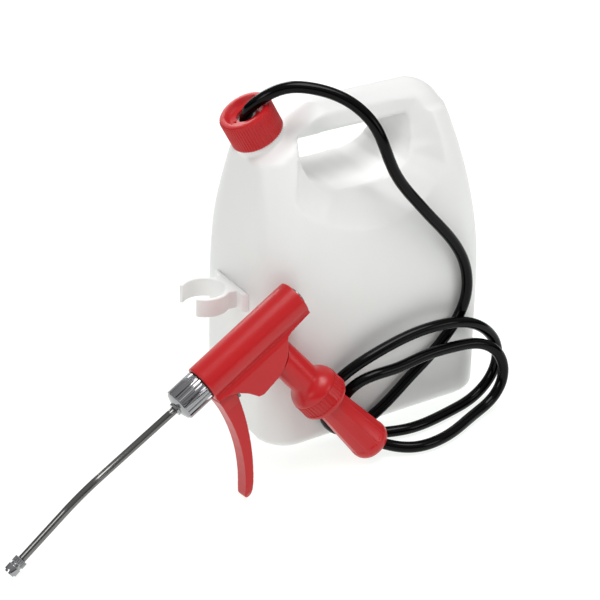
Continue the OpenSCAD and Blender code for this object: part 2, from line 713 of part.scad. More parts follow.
trigger_steps = 10;
trigger_from = 8;
trigger_span = 31.5;
trigger_root = [8.2, -26];
function trigger_turn(t) = trigger_from + trigger_span*t;
function trigger_mid(t) = trigger_root - trigger_bend_r*[cos(trigger_from) - cos(trigger_turn(t)),
    sin(trigger_turn(t)) - sin(trigger_from)];
function trigger_deep(t) = 3.4 + 4.3*(1 - t)^2;
function trigger_side(t, k) = trigger_mid(t) + k*trigger_deep(t)*[cos(trigger_turn(t)),
    -sin(trigger_turn(t))];
trigger_tip = trigger_mid(1);
trigger_low = trigger_tip[1] - 3.4;
tip_arc = [for (a = [20:35:160]) trigger_tip + 3.4*[cos(trigger_turn(1) + a), -sin(trigger_turn(1) + a)]];

trigger_outline = concat([[pivot[0] - 5.2, pivot[1]], [pivot[0] - 5.2, -9.8], [3.1, -10.5], [3.1, -15.5],
    [0.4, -18.5]],
    [for (k = [0:trigger_steps]) trigger_side(k/trigger_steps, -1)],
    [for (p = [len(tip_arc) - 1:-1:0]) tip_arc[p]],
    [for (k = [trigger_steps:-1:0]) trigger_side(k/trigger_steps, 1)],
    [[pivot[0] + 5.2, -12], [pivot[0] + 5.2, pivot[1]]]);

module trigger() {
    color("firebrick") in_gun() difference() {
        intersection() {
            union() {
                difference() {
                    side_plate(ear_half, trigger_outline);
                    long_bar(-big/2, big/2, [[-ear_gap, 10], [-ear_gap, -8.2], [ear_gap, -8.2],
                        [ear_gap, 10]]);
                    side_plate(ear_gap, [[-30, -8], [pivot[0] - 1, -8], [40, -17], [40, 10], [-30, 10]]);
                    side_plate(trigger_half - trigger_wall, concat(
                        [for (k = [0:trigger_steps]) trigger_side(0.94*k/trigger_steps,
                            -1 + 0.5 + 0.12*k/trigger_steps)],
                        [for (k = [trigger_steps:-1:0]) trigger_side(0.94*k/trigger_steps, 3)]));
                }
                translate([pivot[0], 0, pivot[1]]) rotate([90, 0, 0]) difference() {
                    cylinder(r = 5.2, h = 2*ear_half, center = true, $fn = fine);
                    cylinder(r = 6, h = 2*ear_gap, center = true, $fn = fine);
                }
                translate([pivot[0] + 1, 0, pump_z]) rotate([90, 0, 0])
                    cylinder(r = pad_r, h = 2*(trigger_half - trigger_wall) + 1, center = true,
                        $fn = fine);
            }
            long_bar(-big/2, big/2, [[-ear_half, 8], [ear_half, 8], [ear_half, -ear_foot],
                [trigger_half, -ear_foot - 8],
                [trigger_half - 0.2, trigger_low + 10], [trigger_half - 1, trigger_low + 5],
                [trigger_half - 3, trigger_low + 1.5], [trigger_half - 5, trigger_low - 0.5],
                [5 - trigger_half, trigger_low - 0.5], [3 - trigger_half, trigger_low + 1.5],
                [1 - trigger_half, trigger_low + 5], [0.2 - trigger_half, trigger_low + 10],
                [-trigger_half, -ear_foot - 8], [-ear_half, -ear_foot]]);
        }
        translate([pivot[0], 0, pivot[1]]) rotate([90, 0, 0])
            cylinder(r = pin_r + 0.06, h = 40, center = true, $fn = smooth);
    }
}

module trigger_pins() {
    pin_in = (barrel_r + water_r + 0.3)/2 + 0.1;
    color("silver") in_gun() for (side = [-1, 1]) translate([pivot[0], side*(pin_in + 9.4)/2, pivot[1]])
        rotate([90, 0, 0])
        cylinder(r = pin_r, h = 9.4 - pin_in, center = true, $fn = smooth);
}

// ---- piston and valves ----

module piston() {
    color("silver") in_gun() difference() {
        union() {
            barrel_rod(rod_cap_r, piston_face, piston_face + rod_cap, pump_z);
            barrel_rod(rod_r, piston_face, piston_head + 1, pump_z);
            barrel_rod(pump_bore_r - 0.05, piston_head, piston_head + head_long, pump_z);
        }
        difference() {
            barrel_rod(pump_bore_r + 1, piston_head + 4, piston_head + 5.8, pump_z);
            barrel_rod(pump_bore_r - 1.7, piston_head + 3, piston_head + 7, pump_z);
        }
    }
}

module piston_seal() {
    color("black") in_gun() translate([piston_head + 4.9, 0, pump_z]) rotate([0, 90, 0])
        rotate_extrude($fn = fine) translate([pump_bore_r - 0.85, 0]) circle(r = 0.8, $fn = smooth);
}

module piston_bush() {
    color("whitesmoke") in_gun() difference() {
        union() {
            barrel_rod(pump_bore_r + pump_wall, bush_face, pump_mouth, pump_z);
            barrel_rod(pump_bore_r - fit, bush_face, piston_head - 0.3, pump_z);
        }
        barrel_rod(rod_r + 0.06, bush_face - 1, piston_head + 1, pump_z);
    }
}

// A coil that runs along +Z from its foot, with flat closed ends.
function coil(r, high, turns) = [for (i = [0:turns*12]) [r*cos(i*30), r*sin(i*30), high*i/(turns*12)]];

module return_spring() {
    wire = 0.55;
    color("silver") in_gun() translate([piston_face + rod_cap + wire + fit, 0, pump_z]) rotate([0, 90, 0])
        tube_along(coil(4.2, bush_face - piston_face - rod_cap - 2*wire - 2*fit, spring_turns), wire, 6);
}

module outlet_spring() {
    wire = 0.35;
    color("silver") in_gun() translate([spigot_front + wire + fit, 0, 0]) rotate([0, 90, 0])
        tube_along(coil(2.3, 10.9, 5), wire, 6);
}

module intake_seat() {
    color("gold") in_gun() difference() {
        stem_rod(stem_bore_r - fit, seat_top, seat_top + seat_long);
        stem_rod(water_r, seat_top - 1, seat_top + seat_long + 1);
    }
}

ball_sink = sqrt(ball_r^2 - water_r^2);

module intake_ball() {
    color("silver") in_gun() in_stem(seat_top - ball_sink - 0.05) sphere(r = ball_r, $fn = smooth);
}

module outlet_ball() {
    color("silver") in_gun() translate([valve_face - ball_sink - 0.05, 0, 0])
        sphere(r = ball_r, $fn = smooth);
}

// ---- grip ----

module union_ring() {
    color("firebrick") in_gun() in_stem(bell_foot + 0.2) difference() {
        union() {
            translate([0, 0, 0.6]) linear_extrude(11.7) polygon(ribbed(ring_r, 1, ring_ribs));
            cylinder(r = ring_r - 0.6, h = 13, $fn = fine);
            translate([0, 0, 12]) cylinder(r = ring_r + 0.2, h = 2.4, $fn = fine);
            translate([0, 0, 13]) cylinder(r = ring_r - 1.4, h = ring_end - bell_foot - 13.2, $fn = fine);
        }
        translate([0, 0, -1]) cylinder(r = thread_r + 0.06, h = flange_end - bell_foot + 0.9, $fn = fine);
        cylinder(r = grip_r + 0.4, h = 40, $fn = fine);
    }
}

module grip() {
    color("firebrick") in_gun() difference() {
        union() {
            stem_rod(thread_r - 0.3, gasket_end, flange_end);
            stem_rod(grip_r, gasket_end + 1, ring_end + 2);
            in_stem(ring_end - 1) rotate([0, 0, 18])
                cylinder(r1 = grip_r - 0.1, r2 = grip_foot_r, h = grip_end - 7 - ring_end, $fn = 10);
            in_stem() rotate_extrude($fn = fine)
                polygon([[0, grip_end - 10], [grip_foot_r - 0.8, grip_end - 10],
                [grip_foot_r - 0.1, grip_end - 8.5], [grip_foot_r, grip_end - 6],
                    [grip_foot_r - 0.4, grip_end - 3.5],
                [grip_foot_r - 1.3, grip_end - 1.5], [grip_foot_r - 2.4, grip_end], [0, grip_end]]);
        }
        stem_rod(8.2, gasket_end - 1, gasket_end + 1.5);
        stem_rod(4.2, gasket_end, flange_end + 1);
        in_stem() rotate_extrude($fn = fine)
            polygon([[0, flange_end], [grip_r - 2.6, flange_end], [grip_r - 2.6, barb_end],
            [mouth_r, grip_end], [mouth_r, grip_end + 1], [0, grip_end + 1]]);
    }
}

module grip_gasket() {
    color("dimgray") in_gun() difference() {
        stem_rod(thread_r - 0.3, stem_end, gasket_end);
        stem_rod(stem_bore_r, stem_end - 1, gasket_end + 1);
    }
}

module hose_barb() {
    color("gold") in_gun() difference() {
        union() {
            stem_rod(7.9, gasket_end, gasket_end + 1.5);
            stem_rod(4.1, gasket_end, barb_end);
            in_stem() rotate_extrude($fn = fine)
                polygon([[0, barb_end - 10], [4.1, barb_end - 10], [hose_r, barb_end - 9],
                [4.1, barb_end - 6], [hose_r, barb_end - 5], [4.1, barb_end - 2], [hose_r, barb_end - 1],
                [hose_r, barb_end], [0, barb_end]]);
        }
        stem_rod(2.5, gasket_end - 1, barb_end + 1);
    }
}

tank();
gun_clip();
cap();
cap_gasket();
hose_gland();
suction_tube();
strainer();
hose();
gun_housing();
pump_body();
barrel_plug();
front_seal();
lance_nut();
lance_washer();
lance_tube();
nozzle();
swirl_core();
trigger();
trigger_pins();
piston();
piston_seal();
piston_bush();
return_spring();
intake_seat();
intake_ball();
outlet_ball();
outlet_spring();
union_ring();
grip();
grip_gasket();
hose_barb();
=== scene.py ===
"""Dresses the canister sprayer with a hand pump gun on its CAD frame.

The can, its cap and suction line, the hose, the gun, the lance and the grip are each
a class. Lengths are in millimetres in the classes and become metres in the meshes.
"""

from __future__ import annotations

import logging
import math
from collections.abc import Callable, Iterable, Sequence
from dataclasses import dataclass, field
from enum import Enum

import bmesh
import bpy
from mathutils import Matrix, Vector


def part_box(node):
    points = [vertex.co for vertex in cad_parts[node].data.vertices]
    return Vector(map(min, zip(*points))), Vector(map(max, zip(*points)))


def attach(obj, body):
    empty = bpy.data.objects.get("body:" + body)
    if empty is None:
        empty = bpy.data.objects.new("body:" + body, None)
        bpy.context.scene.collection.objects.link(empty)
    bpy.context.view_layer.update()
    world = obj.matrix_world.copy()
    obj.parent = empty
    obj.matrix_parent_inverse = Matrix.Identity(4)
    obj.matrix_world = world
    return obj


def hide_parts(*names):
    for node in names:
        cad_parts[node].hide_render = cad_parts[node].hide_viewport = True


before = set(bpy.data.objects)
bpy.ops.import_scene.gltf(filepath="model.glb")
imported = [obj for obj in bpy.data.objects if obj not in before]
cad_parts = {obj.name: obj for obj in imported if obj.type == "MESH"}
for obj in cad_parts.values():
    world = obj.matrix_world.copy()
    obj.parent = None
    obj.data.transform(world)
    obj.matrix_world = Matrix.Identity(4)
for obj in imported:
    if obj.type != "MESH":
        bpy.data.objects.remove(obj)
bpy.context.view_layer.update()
NODES: dict[str, bpy.types.Object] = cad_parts
MM = 0.001
LOG = logging.getLogger("sprayer")

Point = tuple[float, float, float]

# The neck's foot in millimetres and its lean towards the narrow face in degrees.
NECK_FOOT: Point = (-78.8, 0.0, 256.4)
NECK_TILT = 27.5
# Scale of the soft patches in a surface, about 45 mm wide, and how far they take its
# roughness up and down, as a plastic or a plating varies by hand and mould.
PATCH_SCALE = 22.0
ROUGHNESS_DRIFT = 0.12
# Turn in degrees from the upright to the lance, which drawn and turned lines go by.
LANCE_TURN = -58.0
# Points nearer than this are one, and faces that meet at less than this many degrees
# are flat.
WELD_MM = 0.002
FLAT_ANGLE = 0.6
# Edges bent by more than this many degrees stay sharp in the shading.
SHARP_ANGLE = 32.0


def sin_d(angle: float) -> float:
    """Returns the sine of an angle in degrees."""
    return math.sin(math.radians(angle))


def cos_d(angle: float) -> float:
    """Returns the cosine of an angle in degrees."""
    return math.cos(math.radians(angle))


def linear(hex_colour: str) -> tuple[float, float, float, float]:
    """Turns an sRGB hex colour into linear light.

    Args:
        hex_colour: Six hex digits, red first.

    Returns:
        Red, green, blue and a full alpha.
    """
    parts = [int(hex_colour[i : i + 2], 16) / 255 for i in (0, 2, 4)]
    light = [c / 12.92 if c <= 0.04045 else ((c + 0.055) / 1.055) ** 2.4 for c in parts]
    return (light[0], light[1], light[2], 1.0)


def add_node(
    tree: bpy.types.NodeTree,
    kind: str,
    settings: dict[str, object] | None = None,
    links: dict[str, bpy.types.NodeSocket] | None = None,
) -> bpy.types.Node:
    """Adds one shader node with its settings and its links.

    Args:
        tree: The node tree that gets it.
        kind: The node's type name.
        settings: Values by input name, or by property name where no input has it.
        links: Output sockets of other nodes, by input name.

    Returns:
        The new node.
    """
    node = tree.nodes.new(kind)
    for name, value in (settings or {}).items():
        if name in node.inputs:
            node.inputs[name].default_value = value
        else:
            setattr(node, name, value)
    for name, socket in (links or {}).items():
        tree.links.new(socket, node.inputs[name])
    return node


# ---------------------------------------------------------------- finishes


class Grain(Enum):
    """How a surface's fine relief runs."""

    EVEN = "even"
    ALONG_LANCE = "along the lance"
    TURNED = "turned"


@dataclass(frozen=True)
class Finish:
    """One real surface finish.

    Attributes:
        name: Its common name and how it was made.
        colour: sRGB hex of the bare surface.
        shade: sRGB hex that the colour drifts to in soft patches.
        roughness: Mean roughness.
        metallic: 1 for bare metal.
        ior: Index of refraction of a plastic.
        relief_mm: Height of the fine relief.
        relief_size_mm: Width of one grain of the relief.
        depth: Share of light that goes under the surface.
        depth_mm: How far that light travels.
        coat: Share of a glossy skin over it.
        grain: How the relief runs.
    """

    name: str
    colour: str
    shade: str
    roughness: float
    metallic: float = 0.0
    ior: float = 1.5
    relief_mm: float = 0.0
    relief_size_mm: float = 1.0
    depth: float = 0.0
    depth_mm: float = 1.0
    coat: float = 0.0
    grain: Grain = Grain.EVEN

    def material(self) -> bpy.types.Material:
        """Builds the finish once and returns it.

        Returns:
            The material, shared by every piece that has the finish.
        """
        made = bpy.data.materials.get(self.name)
        if made is not None:
            return made
        made = bpy.data.materials.new(self.name)
        made.use_nodes = True
        tree = made.node_tree
        shader = tree.nodes["Principled BSDF"]
        shader.inputs["Metallic"].default_value = self.metallic
        if not self.metallic:
            shader.inputs["IOR"].default_value = self.ior
        if self.depth:
            shader.inputs["Subsurface Weight"].default_value = self.depth
            shader.inputs["Subsurface Radius"].default_value = (1.0, 0.95, 0.9)
            shader.inputs["Subsurface Scale"].default_value = self.depth_mm * MM
        if self.coat:
            shader.inputs["Coat Weight"].default_value = self.coat
            shader.inputs["Coat Roughness"].default_value = 0.08
        self._colour(tree, shader)
        self._relief(tree, shader)
        return made

    def _colour(self, tree: bpy.types.NodeTree, shader: bpy.types.Node) -> None:
        """Lets the colour and the roughness drift in soft patches.

        Args:
            tree: The material's nodes.
            shader: Its surface shader.
        """
        place = add_node(tree, "ShaderNodeTexCoord").outputs["Object"]
        patches = add_node(
            tree, "ShaderNodeTexNoise", {"Scale": PATCH_SCALE, "Detail": 2.0}, {"Vector": place}
        )
        drift = patches.outputs["Fac"]
        mix = add_node(tree, "ShaderNodeMix", {"data_type": "RGBA"}, {"Factor": drift})
        mix.inputs[6].default_value = linear(self.colour)
        mix.inputs[7].default_value = linear(self.shade)
        tree.links.new(mix.outputs[2], shader.inputs["Base Color"])
        rough = add_node(
            tree,
            "ShaderNodeMapRange",
            {
                "To Min": self.roughness * (1 - ROUGHNESS_DRIFT),
                "To Max": self.roughness * (1 + ROUGHNESS_DRIFT),
            },
            {"Value": drift},
        )
        tree.links.new(rough.outputs["Result"], shader.inputs["Roughness"])

    def _relief(self, tree: bpy.types.NodeTree, shader: bpy.types.Node) -> None:
        """Adds the fine relief.

        Args:
            tree: The material's nodes.
            shader: Its surface shader.
        """
        if not self.relief_mm:
            return
        place = add_node(tree, "ShaderNodeTexCoord").outputs["Object"]
        if self.grain is not Grain.EVEN:
            # Drawn lines run along the lance and turned ones across it.
            squeeze = (1.0, 1.0, 0.05) if self.grain is Grain.ALONG_LANCE else (0.05, 0.05, 1.0)
            place = add_node(
                tree,
                "ShaderNodeMapping",
                {"Rotation": (0.0, math.radians(LANCE_TURN), 0.0), "Scale": squeeze},
                {"Vector": place},
            ).outputs["Vector"]
        grain = add_node(
            tree,
            "ShaderNodeTexNoise",
            {"Scale": 1.0 / (self.relief_size_mm * MM), "Detail": 3.0, "Roughness": 0.55},
            {"Vector": place},
        )
        bump = add_node(
            tree,
            "ShaderNodeBump",
            {"Strength": 1.0, "Distance": self.relief_mm * MM},
            {"Height": grain.outputs["Fac"]},
        )
        tree.links.new(bump.outputs["Normal"], shader.inputs["Normal"])


# Blow-moulded polyethylene is milky, waxy and a little see-through at its edges.
CAN = Finish("milky blow-moulded polyethylene", "EDEDEC", "E9E9E8", 0.36, ior=1.53,
             relief_mm=0.03, relief_size_mm=2.4, depth=0.15, depth_mm=4.0)
CLIP = Finish("white injection-moulded polypropylene", "F1F1F0", "EBECEB", 0.38,
              relief_mm=0.01, relief_size_mm=0.8, depth=0.1, depth_mm=2.0)
# Injection-moulded red plastic has a soft gloss over a faint spark-eroded grain.
RED = Finish("red injection-moulded polypropylene", "C0161B", "B51318", 0.30, ior=1.45,
             relief_mm=0.02, relief_size_mm=0.7)
RED_CAP = Finish("red closure polypropylene", "C41A20", "BA161C", 0.40, ior=1.42,
                 relief_mm=0.02, relief_size_mm=0.7)
CHROME = Finish("polished chromium plate", "A6A6A8", "98989B", 0.13, metallic=1.0,
                relief_mm=0.004, relief_size_mm=1.5)
STEEL = Finish("drawn stainless steel", "7A7978", "6C6B6A", 0.22, metallic=1.0,
               relief_mm=0.01, relief_size_mm=0.5, grain=Grain.ALONG_LANCE)
BRASS = Finish("turned brass", "C9A04E", "BC9344", 0.28, metallic=1.0,
               relief_mm=0.006, relief_size_mm=0.4, grain=Grain.TURNED)
SEAL = Finish("black nitrile rubber", "121213", "1A1A1B", 0.62, relief_mm=0.015, relief_size_mm=0.5)
GLAND = Finish("black moulded acetal", "151516", "1B1B1C", 0.42, relief_mm=0.01, relief_size_mm=0.7)
HOSE = Finish("glossy black extruded vinyl", "010101", "020202", 0.15, ior=1.24,
              relief_mm=0.008, relief_size_mm=2.5)
NATURAL = Finish("natural polyethylene", "DEDED8", "D6D6CF", 0.42, ior=1.53,
                 relief_mm=0.01, relief_size_mm=0.9, depth=0.2, depth_mm=2.0)


# ---------------------------------------------------------------- shared making


def finish_piece(
    mesh: bpy.types.Mesh,
    name: str,
    body: str,
    finish: Finish,
    nodes: Iterable[str] = (),
) -> bpy.types.Object:
    """Puts a finished mesh in the scene as one piece.

    Args:
        mesh: The piece's mesh, in metres and in place.
        name: The piece's name.
        body: The CAD body that carries it.
        finish: Its finish.
        nodes: The CAD nodes that it stands for.

    Returns:
        The piece.
    """
    piece = bpy.data.objects.new(name, mesh)
    bpy.context.scene.collection.objects.link(piece)
    mesh.materials.clear()
    mesh.materials.append(finish.material())
    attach(piece, body)
    if nodes:
        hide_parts(*nodes)
    LOG.info("%s: %d faces on %s", name, len(mesh.polygons), body)
    return piece


@dataclass
class Softened:
    """A CAD node that gets the rounded edges its moulding or machining leaves.

    Attributes:
        node: The CAD node.
        body: The body that carries it.
        slot: The record's material slot. It is not used.
        finish: Its finish.
        edge_mm: Radius of the rounded edges.
        segments: Steps in each rounding.
        from_angle: Edges bent by more than this many degrees are rounded.
        melt_mm: Grid of the remeshed skin, where the moulding has soft flowing forms.
        easing: Smoothing steps on the remeshed skin.
    """

    node: str
    body: str
    slot: str
    finish: Finish
    edge_mm: float = 0.3
    segments: int = 2
    from_angle: float = 35.0
    melt_mm: float = 0.0
    easing: int = 4

    def build(self) -> bpy.types.Object:
        """Rounds a copy of the node and puts it in the node's place.

        Returns:
            The dressed piece.
        """
        bm = bmesh.new()
        bm.from_mesh(NODES[self.node].data)
        bmesh.ops.remove_doubles(bm, verts=bm.verts, dist=WELD_MM * MM)
        bmesh.ops.dissolve_limit(
            bm,
            angle_limit=math.radians(FLAT_ANGLE),
            use_dissolve_boundaries=False,
            verts=bm.verts,
            edges=bm.edges,
            delimit={"NORMAL"},
        )
        if self.edge_mm:
            limit = math.radians(self.from_angle)
            edges = [
                edge
                for edge in bm.edges
                if len(edge.link_faces) == 2 and edge.calc_face_angle(0.0) > limit
            ]
            bmesh.ops.bevel(
                bm,
                geom=edges,
                offset=self.edge_mm * MM,
                offset_type="OFFSET",
                segments=self.segments,
                profile=0.5,
                affect="EDGES",
                clamp_overlap=True,
                material=-1,
            )
        bmesh.ops.triangulate(bm, faces=[f for f in bm.faces if len(f.verts) > 4])
        mesh = bpy.data.meshes.new(f"{self.node} skin")
        bm.to_mesh(mesh)
        bm.free()
        if self.melt_mm:
            mesh = melted(mesh, self.melt_mm, self.easing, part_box(self.node))
        else:
            mesh.shade_smooth()
            mesh.set_sharp_from_angle(angle=math.radians(SHARP_ANGLE))
        return finish_piece(
            mesh, f"{self.node}_dressed", self.body, self.finish, [self.node]
        )


def melted(
    mesh: bpy.types.Mesh, grid_mm: float, steps: int, box: Sequence[Sequence[float]]
) -> bpy.types.Mesh:
    """Remeshes a skin and smooths it, so that its edges flow as a moulding's do.

    Args:
        mesh: The closed skin.
        grid_mm: Grid of the remesh in millimetres.
        steps: Smoothing steps.
        box: The low and the high corner that the skin stays in.

    Returns:
        The flowing skin.
    """
    helper = bpy.data.objects.new(mesh.name, mesh)
    bpy.context.scene.collection.objects.link(helper)
    melt = helper.modifiers.new("melt", "REMESH")
    melt.mode = "VOXEL"
    melt.voxel_size = grid_mm * MM
    melt.use_smooth_shade = True
    ease = helper.modifiers.new("ease", "SMOOTH")
    ease.factor = 0.5
    ease.iterations = steps
    skin = evaluated(helper, mesh.name)
    bpy.data.objects.remove(helper)
    for vert in skin.vertices:
        for axis in range(3):
            vert.co[axis] = min(max(vert.co[axis], box[0][axis]), box[1][axis])
    skin.shade_smooth()
    return skin


def place_key(vert: bmesh.types.BMVert) -> tuple[float, ...]:
    """Returns a point's place, rounded so that copies of it compare as equal."""
    return tuple(round(c, 8) for c in vert.co)


def loft(rings: Sequence[Sequence[Point]]) -> bmesh.types.BMesh:
    """Extrudes one closed ring of edges from level to level and caps both ends.

    Args:
        rings: Rings with the same number of points each, in millimetres.

    Returns:
        A closed skin in metres.
    """
    bm = bmesh.new()
    verts = [bm.verts.new(Vector(p) * MM) for p in rings[0]]
    first = [bm.edges.new((verts[i - 1], verts[i])) for i in range(len(verts))]
    edges = first
    for ring in rings[1:]:
        made = bmesh.ops.extrude_edge_only(bm, edges=edges)["geom"]
        # The copies come in no set order, so each is found by the place it shares.
        copies = {place_key(v): v for v in made if isinstance(v, bmesh.types.BMVert)}
        verts = [copies[place_key(v)] for v in verts]
        edges = [bm.edges.get((verts[i - 1], verts[i])) for i in range(len(verts))]
        for vert, point in zip(verts, ring):
            vert.co = Vector(point) * MM
    bmesh.ops.edgeloop_fill(bm, edges=first)
    bmesh.ops.edgeloop_fill(bm, edges=edges)
    bmesh.ops.recalc_face_normals(bm, faces=bm.faces)
    return bm


def as_object(bm: bmesh.types.BMesh, name: str) -> bpy.types.Object:
    """Makes a helper object from a bmesh and frees the bmesh.

    Args:
        bm: The skin.
        name: The helper's name.

    Returns:
        The helper, which its maker removes again.
    """
    mesh = bpy.data.meshes.new(name)
    bm.to_mesh(mesh)
    bm.free()
    helper = bpy.data.objects.new(name, mesh)
    bpy.context.scene.collection.objects.link(helper)
    return helper


def evaluated(helper: bpy.types.Object, name: str) -> bpy.types.Mesh:
    """Reads a helper's mesh after its modifiers.

    Args:
        helper: An object with live modifiers.
        name: The new mesh's name.

    Returns:
        The shaped mesh.
    """
    bpy.context.view_layer.update()
    graph = bpy.context.evaluated_depsgraph_get()
    mesh = bpy.data.meshes.new_from_object(helper.evaluated_get(graph))
    mesh.name = name
    return mesh


# ---------------------------------------------------------------- camera and light


@dataclass
class Studio:
    """A pale floor, soft light and the camera.

    Attributes:
        eye: The camera's place in metres.
        ahead: The way it looks.
        up: The way its frame's top points.
        lens_mm: Its focal length.
        sensor_mm: The width of its sensor.
        lit_point: The place that every lamp faces.
        floor_z: The table's height, a little lower than what stands on it.
        floor_half: Half the table's side.
    """

    eye: Point = (-0.6895, -1.0802, 0.7846)
    ahead: Point = (0.4517, 0.7539, -0.4772)
    up: Point = (0.2453, 0.4093, 0.8788)
    lens_mm: float = 101.7
    sensor_mm: float = 36.0
    lit_point: Point = (0.0, 0.0, 0.14)
    floor_z: float = -0.0004
    floor_half: float = 6.0

    def camera(self) -> None:
        """Sets up the camera."""
        data = bpy.data.cameras.new("camera")
        data.lens = self.lens_mm
        data.sensor_width = self.sensor_mm
        data.clip_start = 0.05
        data.clip_end = 20.0
        camera = bpy.data.objects.new("camera", data)
        bpy.context.scene.collection.objects.link(camera)
        ahead = Vector(self.ahead).normalized()
        right = ahead.cross(Vector(self.up)).normalized()
        up = right.cross(ahead)
        turn = Matrix((right, up, -ahead)).transposed().to_4x4()
        camera.matrix_world = Matrix.Translation(self.eye) @ turn
        bpy.context.scene.camera = camera

    def floor(self) -> None:
        """Lays a white table that glows a little, so shadows on it stay pale."""
        bm = bmesh.new()
        bmesh.ops.create_grid(bm, x_segments=1, y_segments=1, size=self.floor_half)
        floor = as_object(bm, "floor")
        floor.location.z = self.floor_z
        surface = bpy.data.materials.new("white table")
        surface.use_nodes = True
        shader = surface.node_tree.nodes["Principled BSDF"]
        shader.inputs["Base Color"].default_value = linear("888A88")
        shader.inputs["Roughness"].default_value = 0.9
        shader.inputs["Specular IOR Level"].default_value = 0.1
        shader.inputs["Emission Color"].default_value = linear("FCFFFC")
        shader.inputs["Emission Strength"].default_value = 0.86
        floor.data.materials.append(surface)

    def lamp(self, name: str, place: Point, size: float, power: float) -> None:
        """Adds one soft box that faces the can.

        Args:
            name: The lamp's name.
            place: Where it stands, in metres.
            size: Its side in metres.
            power: Its power in watts.
        """
        data = bpy.data.lights.new(name, "AREA")
        data.shape = "SQUARE"
        data.size = size
        data.energy = power
        lamp = bpy.data.objects.new(name, data)
        bpy.context.scene.collection.objects.link(lamp)
        lamp.location = place
        way = Vector(self.lit_point) - Vector(place)
        lamp.rotation_euler = way.to_track_quat("-Z", "Y").to_euler()

    def light(self) -> None:
        """Sets the surround and the four soft boxes.

        The surround is dark up to a little over the horizon, so that chrome and steel
        have something to show, and white above.
        """
        world = bpy.data.worlds.new("white surround")
        world.use_nodes = True
        tree = world.node_tree
        way = add_node(tree, "ShaderNodeTexCoord").outputs["Generated"]
        height = add_node(tree, "ShaderNodeSeparateXYZ", links={"Vector": way}).outputs["Z"]
        ramp = add_node(tree, "ShaderNodeValToRGB", links={"Fac": height})
        # A new ramp runs from black to white. Its black end gives way to the first stop
        # here, and its white end stays.
        stops = ramp.color_ramp.elements
        for place, shade in ((0.0, "3A3A3A"), (0.16, "606060"), (0.34, "D8D8D8")):
            stops.new(place).color = linear(shade)
        stops.remove(stops[0])
        back = tree.nodes["Background"]
        tree.links.new(ramp.outputs["Color"], back.inputs["Color"])
        back.inputs["Strength"].default_value = 0.52
        bpy.context.scene.world = world
        self.lamp("key", (0.15, -0.5, 2.3), 1.2, 28.0)
        self.lamp("side", (-1.9, -0.5, 0.9), 0.8, 8.0)
        self.lamp("front", (1.1, -1.9, 0.9), 0.8, 5.5)
        self.lamp("rear", (0.3, 1.7, 0.9), 0.9, 16.0)
        bpy.context.scene.view_settings.view_transform = "Standard"

    def build(self) -> None:
        """Sets up everything round the part."""
        self.camera()
        self.floor()
        self.light()


# ---------------------------------------------------------------- hose


